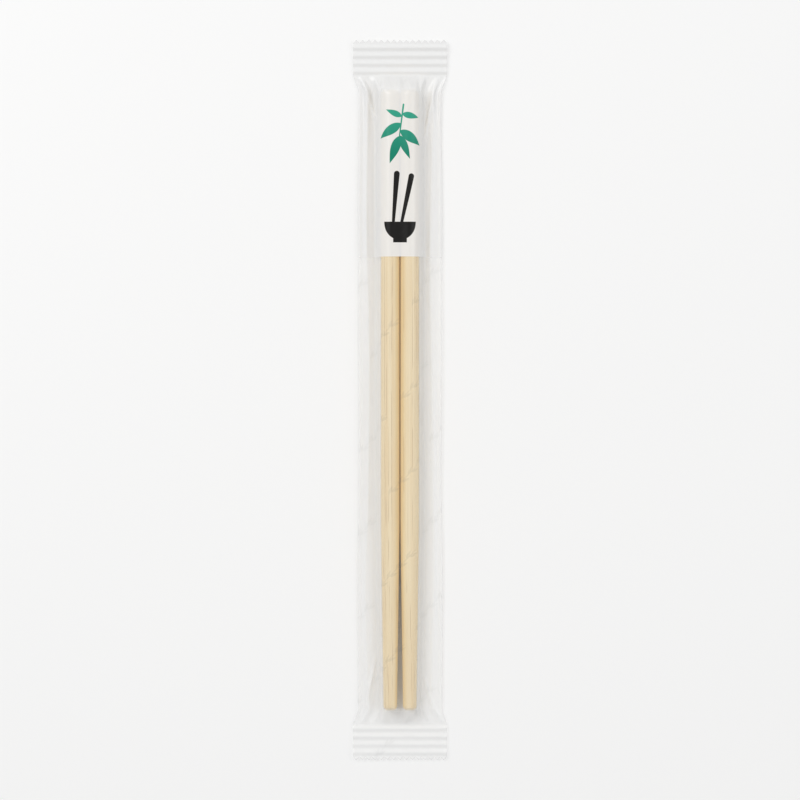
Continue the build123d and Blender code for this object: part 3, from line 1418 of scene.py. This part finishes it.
    def outer_shell(self, grid: FilmGrid, upper: Array, lower: Array, fold: Array) -> Shell:
        """The outer skins as one closed surface, with the web wrapped round it from the front's middle.

        Args:
            grid: Points of the film.
            upper: Points of the upper film's outer skin.
            lower: Points of the lower film's outer skin.
            fold: How far the side folds stand out, for each row.

        Returns:
            The surface.
        """
        skin = np.full(grid.path.shape, Skin.FRONT.value)
        front = np.stack([np.sign(grid.share) * grid.path, grid.places, skin], axis=-1)
        back = lower * (1.0, 1.0, 0.0) + (0.0, 0.0, Skin.BACK.value)
        right, left = [np.repeat(front[:, [side]], FOLD_STEPS, axis=1) for side in (-1, 0)]
        web = np.concatenate([front, right, back[:, ::-1], left], axis=1)
        edge = np.full(right.shape[:2], self.milk.edge)
        under = np.full(skin.shape, self.milk.free)
        milk = np.concatenate([self.milk.upper(grid), edge, under, edge], axis=1)
        return replace(tube_of_sheets(upper, lower, fold), web=web.reshape(-1, 3), milk=milk.ravel())

    def build(self, material: Material) -> Object:
        """Makes the sleeve in place of its solid: its outside as one closed surface, its hollow as another.

        Args:
            material: The film's finish.

        Returns:
            The sleeve.
        """
        grid = self.grid()
        upper = self.upper_sheet(grid)
        lower = self.lower_sheet(grid, upper)
        fold = between(self.pressed_fold, self.loose_fold, grid.lift[:, 0])
        outer = self.outer_shell(grid, upper, lower, fold)
        kept = self.hollow_rows(grid)
        inner_fold = np.maximum(fold[kept] - self.film_gauge, self.layer_gap)
        hollow = tube_of_sheets(*self.inner_sheets(upper[kept], lower[kept]), inner_fold)
        shells = [outer, hollow.turned().bare(Skin.INSIDE, self.milk.inside)]
        return make_piece("printed_film_sleeve", shells, material, SLEEVE_NODE)


@dataclass
class BackSeam:
    """The sealed edges of the film's web, folded flat under the sleeve."""

    sleeve: FilmSleeve
    half_width: Wander = Wander(4.5 * MM, 0.15 * MM, (0.12, 0.15), (5, 6))
    gap: float = 0.02 * MM
    milk: float = 0.09
    columns: int = 13
    rows: int = 140

    def build(self, material: Material) -> Object:
        """Makes the seam: two flat sheets, edge to edge, whose sides wander a little.

        Args:
            material: The film's finish.

        Returns:
            The seam.
        """
        end = self.sleeve.crimp_start
        share = np.linspace(-1.0, 1.0, self.columns)[None, :]
        places = np.linspace(-end, end, self.rows)[:, None]
        x = share * self.half_width.along(share, places)
        low = np.stack([x, np.broadcast_to(places, x.shape), np.zeros(x.shape)], axis=-1)
        top = low + (0.0, 0.0, self.sleeve.back_height - self.gap)
        shell = tube_of_sheets(top, low, np.full(self.rows, self.sleeve.pressed_fold))
        shells = [shell.bare(Skin.BACK, self.milk)]
        return make_piece("film_back_seam", shells, material, SLEEVE_NODE)


@dataclass(frozen=True)
class SoftLight:
    """A rectangular soft light that faces the middle of the sleeve, with its power in watts."""

    name: str
    place: Triple
    size: Pair
    power: float

    def build(self) -> Object:
        """Makes the light.

        Returns:
            The light.
        """
        lamp = bpy.data.lights.new(self.name, "AREA")
        lamp.shape = "RECTANGLE"
        lamp.size, lamp.size_y = self.size
        lamp.energy = self.power
        light = new_object(self.name, lamp)
        light.location = self.place
        light.rotation_euler = (-Vector(self.place)).to_track_quat("-Z", "Y").to_euler()
        return light


@dataclass
class Studio:
    """The pale table, the soft lights and the camera that looks straight down on the sleeve."""

    table_size: float = 60.0
    table_gap: float = 0.03 * MM
    table_colour: Triple = (0.97, 0.97, 0.967)
    table_roughness: float = 0.85
    mottle_share: float = 0.985
    mottle_scale: float = 3.0
    mottle_detail: float = 2.0
    key_light: SoftLight = SoftLight("key_light", (-0.72, 0.56, 1.05), (0.5, 0.9), 8.2)
    fill_light: SoftLight = SoftLight("fill_light", (0.95, 0.1, 1.0), (1.0, 1.0), 4.8)
    world_colour: Triple = (1.0, 1.0, 1.0)
    world_strength: float = 0.5
    camera_height: float = 1.3
    frame_share: float = 0.9
    sensor: float = 36.0
    see_through_bounces: int = 32

    def table_finish(self) -> Material:
        """A pale matt finish with a faint mottle.

        Returns:
            The material.
        """
        material, graph, shader = new_material("pale_table")
        place = graph.node("ShaderNodeTexCoord").outputs["Object"]
        mottle = graph.noise(place, self.mottle_scale, self.mottle_detail)
        darker = tuple(self.mottle_share * part for part in self.table_colour)
        colour = graph.blend(darker, self.table_colour, mottle)
        graph.supply(shader, Base_Color=colour, Roughness=self.table_roughness)
        return material

    def table(self) -> Object:
        """A wide table top, a hair below the sleeve.

        Returns:
            The table.
        """
        half, height = self.table_size / 2, -self.table_gap
        corners = [(x * half, y * half, height) for x, y in ((-1, -1), (1, -1), (1, 1), (-1, 1))]
        mesh = bpy.data.meshes.new("table_top")
        mesh.from_pydata(corners, [], [range(len(corners))])
        mesh.materials.append(self.table_finish())
        table = new_object("table_top", mesh)
        table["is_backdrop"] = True
        return table

    def world(self) -> None:
        """An even white surround."""
        world = bpy.data.worlds.new("surround")
        world.use_nodes = True
        background = world.node_tree.nodes["Background"]
        colour = (*self.world_colour, 1.0)
        Graph(world.node_tree).supply(background, Color=colour, Strength=self.world_strength)
        bpy.context.scene.world = world

    def camera(self) -> Object:
        """A long lens over the middle of the sleeve, with the sticks' heads at the top of the picture.

        Returns:
            The camera.
        """
        low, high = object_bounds()
        data = bpy.data.cameras.new("camera")
        data.sensor_width = self.sensor
        data.lens = self.sensor * self.frame_share * self.camera_height / (high[1] - low[1])
        camera = new_object("camera", data)
        camera.location = (0.0, 0.0, self.camera_height)
        bpy.context.scene.camera = camera
        return camera

    def build(self) -> None:
        """Sets the whole studio up."""
        self.table()
        self.key_light.build()
        self.fill_light.build()
        self.world()
        self.camera()
        bpy.context.scene.view_settings.view_transform = "Standard"
        bpy.context.scene.cycles.transparent_max_bounces = self.see_through_bounces


def main() -> None:
    """Builds the studio and the pieces in order, and logs each piece's number of faces."""
    logging.basicConfig(level=logging.INFO, format="%(name)s: %(message)s")
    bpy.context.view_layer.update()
    Studio().build()
    bamboo = BambooFinish()
    grain = bamboo.grain()
    sticks = [BambooStick(Side.LEFT, seed=3), BambooStick(Side.RIGHT, seed=8)]
    pieces = [stick.build(bamboo, grain) for stick in sticks]
    film = FilmFinish().material()
    sleeve = FilmSleeve(sticks[1])
    pieces += [sleeve.build(film), BackSeam(sleeve).build(film)]
    for piece in pieces:
        LOG.info("%s has %d faces", piece.name, len(piece.data.polygons))


if __name__ == "__main__":
    main()
